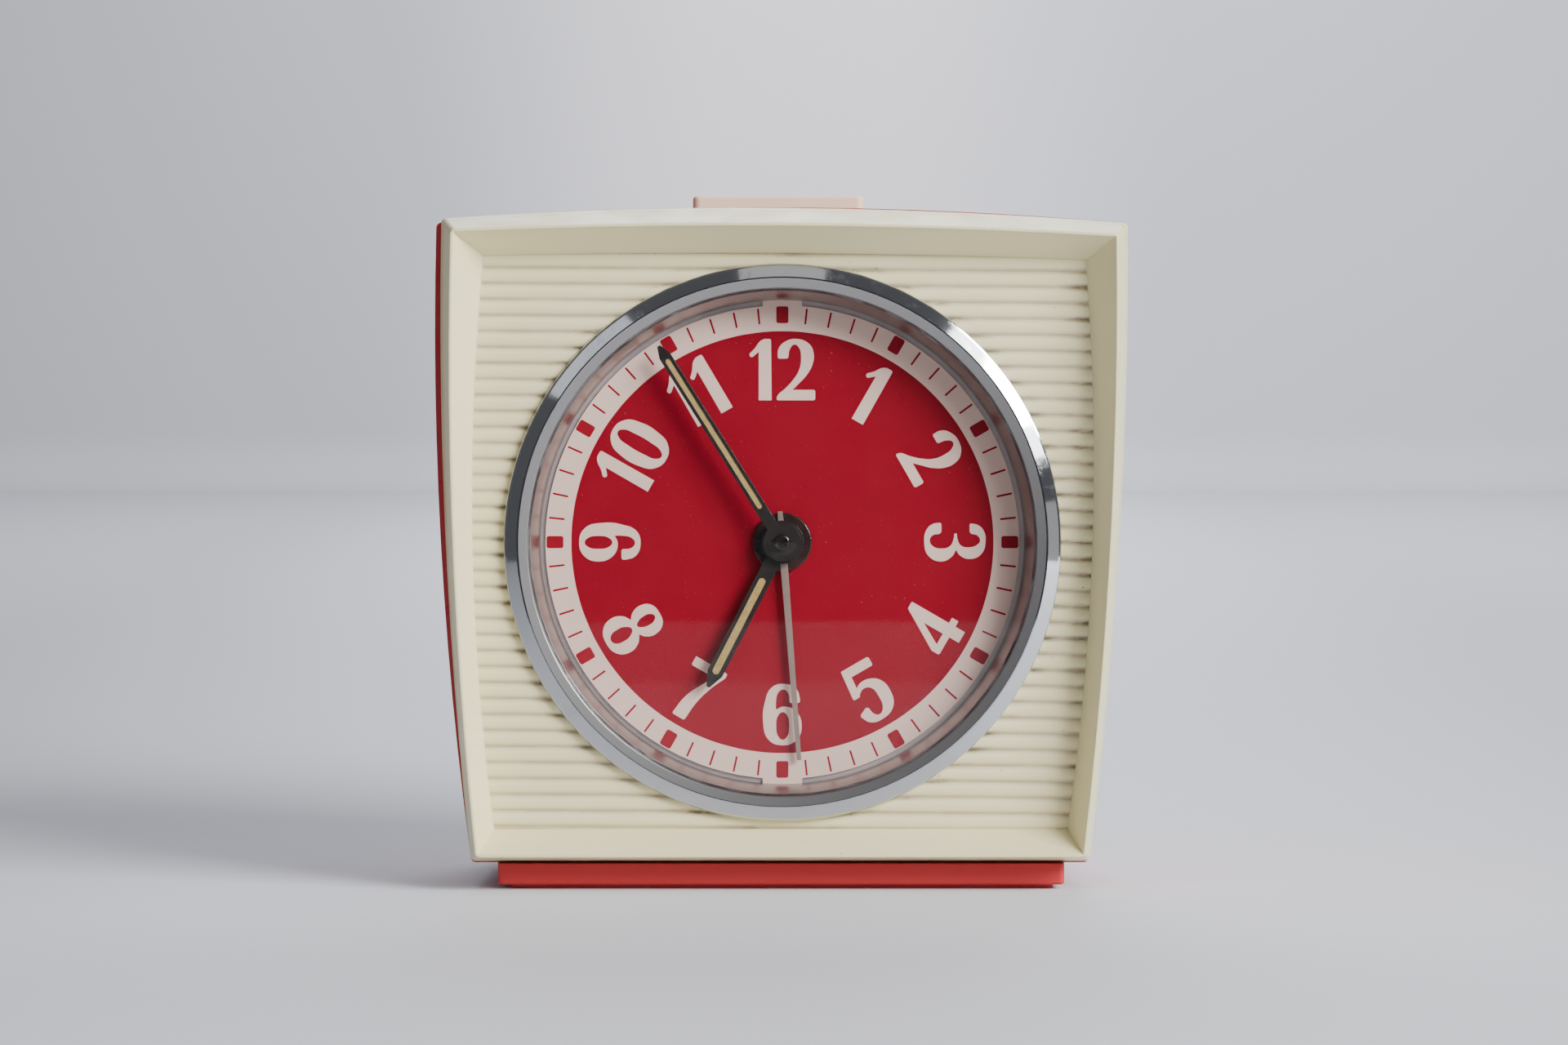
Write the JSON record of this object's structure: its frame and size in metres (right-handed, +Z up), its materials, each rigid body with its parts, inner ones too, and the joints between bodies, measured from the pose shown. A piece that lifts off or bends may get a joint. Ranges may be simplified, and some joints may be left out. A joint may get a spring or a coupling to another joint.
{
  "type": "travel alarm clock",
  "caption": "Wind-up alarm clock with a cream ribbed bezel, chrome ring, red dial and case, low plinth, stop button on top, and winding keys and setting knobs behind.",
  "frame": {"origin": "on the table under the middle of the clock", "axes": "+Z up, the dial faces -Y, +X to the right as seen from the front"},
  "size_m": [0.1052, 0.06, 0.1067],
  "materials": {
    "cream_plastic": "satin moulded, lightly worn",
    "red_plastic": "satin moulded",
    "plinth_red": "gloss moulded",
    "cover_plastic": "satin moulded",
    "chrome": "polished",
    "crystal": "clear polished acrylic",
    "dial_paint": "satin print",
    "grey_metal": "matte",
    "hand_black": "gloss",
    "lume": "aged paint",
    "alarm_grey": "satin",
    "collet_brown": "gloss",
    "brass": "lacquered",
    "steel": "turned",
    "spring_steel": "blued"
  },
  "bodies": {
    "clock": {"front_bezel": "cream_plastic", "case_body": "red_plastic", "base_plinth": "plinth_red", "rear_cover": "cover_plastic", "cover_screw_left": "steel", "cover_screw_right": "steel", "chrome_ring": "chrome", "crystal": "crystal", "dial": "dial_paint", "dial_seat": "grey_metal", "front_plate": "brass", "rear_plate": "brass", "pillar_1": "steel", "pillar_2": "steel", "pillar_3": "steel", "pillar_4": "steel", "bell": "steel", "bell_post": "steel", "time_click": "steel", "alarm_click": "steel", "time_mainspring": "spring_steel", "alarm_mainspring": "spring_steel"},
    "minute_arbor": {"centre_arbor": "steel", "hand_nut": "steel", "cannon_pinion": "steel", "minute_hand": "hand_black", "minute_lume": "lume", "hand_setting_knob": "brass"},
    "hour_pipe": {"hour_wheel": "brass", "hour_hand": "hand_black", "hour_lume": "lume"},
    "minute_wheel": {"minute_wheel": "brass"},
    "alarm_pipe": {"alarm_wheel": "brass", "alarm_hand": "alarm_grey", "alarm_disc": "collet_brown"},
    "alarm_setting": {"alarm_set_arbor": "steel", "alarm_setting_knob": "brass"},
    "time_winding": {"time_main_arbor": "steel", "time_ratchet": "steel", "time_winding_key": "brass"},
    "alarm_winding": {"alarm_main_arbor": "steel", "alarm_ratchet": "steel", "alarm_winding_key": "brass"},
    "time_great_wheel": {"time_great_wheel": "brass"},
    "centre_wheel": {"centre_wheel": "brass"},
    "third_wheel": {"third_wheel": "brass"},
    "fourth_wheel": {"fourth_wheel": "brass"},
    "escape_wheel": {"escape_wheel": "steel"},
    "pallet_lever": {"pallet_lever": "steel"},
    "balance": {"balance_wheel": "brass", "balance_staff": "steel", "hairspring": "spring_steel", "hairspring_collet": "brass"},
    "regulator_lever": {"regulator_lever": "steel"},
    "alarm_great_wheel": {"alarm_great_wheel": "brass"},
    "alarm_escape_wheel": {"alarm_escape_wheel": "steel"},
    "hammer": {"hammer": "steel"},
    "stop_button": {"stop_button": "cream_plastic"}
  },
  "joints": [
    {"name": "minute_turn", "type": "hinge", "parent": "clock", "child": "minute_arbor", "pos_m": [0, 0, 0.0525], "axis": [0, 1, 0], "continuous": true},
    {"name": "hour_turn", "type": "hinge", "parent": "clock", "child": "hour_pipe", "pos_m": [0, 0, 0.0525], "axis": [0, 1, 0], "continuous": true},
    {"name": "minute_wheel_turn", "type": "hinge", "parent": "clock", "child": "minute_wheel", "pos_m": [-0.012, 0, 0.0525], "axis": [0, 1, 0], "continuous": true},
    {"name": "alarm_set_turn", "type": "hinge", "parent": "clock", "child": "alarm_setting", "pos_m": [0.00051, 0, 0.03801], "axis": [0, 1, 0], "continuous": true},
    {"name": "alarm_hand_turn", "type": "hinge", "parent": "clock", "child": "alarm_pipe", "pos_m": [0, 0, 0.0525], "axis": [0, 1, 0], "continuous": true},
    {"name": "time_wind", "type": "hinge", "parent": "clock", "child": "time_winding", "pos_m": [-0.01521, 0, 0.04288], "axis": [0, 1, 0], "range_deg": [0, 1620]},
    {"name": "alarm_wind", "type": "hinge", "parent": "clock", "child": "alarm_winding", "pos_m": [0.01521, 0, 0.04288], "axis": [0, 1, 0], "range_deg": [0, 1260]},
    {"name": "fourth_turn", "type": "hinge", "parent": "clock", "child": "fourth_wheel", "pos_m": [-0.00311, 0, 0.07092], "axis": [0, 1, 0], "continuous": true},
    {"name": "third_turn", "type": "hinge", "parent": "clock", "child": "third_wheel", "pos_m": [0.0072, 0, 0.06497], "axis": [0, 1, 0], "continuous": true},
    {"name": "centre_wheel_turn", "type": "hinge", "parent": "clock", "child": "centre_wheel", "pos_m": [0, 0, 0.0525], "axis": [0, 1, 0], "continuous": true},
    {"name": "great_wheel_turn", "type": "hinge", "parent": "clock", "child": "time_great_wheel", "pos_m": [-0.01521, 0, 0.04288], "axis": [0, 1, 0], "continuous": true},
    {"name": "escape_turn", "type": "hinge", "parent": "clock", "child": "escape_wheel", "pos_m": [-0.01374, 0, 0.06904], "axis": [0, 1, 0], "continuous": true},
    {"name": "pallet_rock", "type": "hinge", "parent": "clock", "child": "pallet_lever", "pos_m": [-0.01994, 0, 0.06679], "axis": [0, 1, 0], "range_deg": [-4, 4]},
    {"name": "balance_swing", "type": "hinge", "parent": "clock", "child": "balance", "pos_m": [-0.02369, 0, 0.06029], "axis": [0, 1, 0], "range_deg": [-150, 150], "stiffness_Nm_per_rad": 0.0000033},
    {"name": "regulator_swing", "type": "hinge", "parent": "clock", "child": "regulator_lever", "pos_m": [-0.02369, 0, 0.06029], "axis": [0, 1, 0], "range_deg": [-25, 25]},
    {"name": "alarm_great_turn", "type": "hinge", "parent": "clock", "child": "alarm_great_wheel", "pos_m": [0.01521, 0, 0.04288], "axis": [0, 1, 0], "continuous": true},
    {"name": "alarm_escape_turn", "type": "hinge", "parent": "clock", "child": "alarm_escape_wheel", "pos_m": [0.02447, 0, 0.05391], "axis": [0, 1, 0], "continuous": true},
    {"name": "hammer_swing", "type": "hinge", "parent": "clock", "child": "hammer", "pos_m": [0.02322, 0, 0.06283], "axis": [0, 1, 0], "range_deg": [-5, 6], "stiffness_Nm_per_rad": 0.002},
    {"name": "stop_press", "type": "slide", "parent": "clock", "child": "stop_button", "axis": [0, 0, 1], "range_m": [-0.0015, 0], "stiffness_N_per_m": 400, "springref_m": 0.002}
  ],
  "couplings": [
    {"joint": "hour_turn", "follows": "minute_turn", "ratio": 0.083333},
    {"joint": "minute_wheel_turn", "follows": "minute_turn", "ratio": -0.33333},
    {"joint": "alarm_hand_turn", "follows": "alarm_set_turn", "ratio": -0.20833},
    {"joint": "third_turn", "follows": "fourth_turn", "ratio": -0.13333},
    {"joint": "centre_wheel_turn", "follows": "fourth_turn", "ratio": 0.016667},
    {"joint": "great_wheel_turn", "follows": "fourth_turn", "ratio": -0.0041667},
    {"joint": "escape_turn", "follows": "fourth_turn", "ratio": -8},
    {"joint": "alarm_escape_turn", "follows": "alarm_great_turn", "ratio": -5}
  ]
}
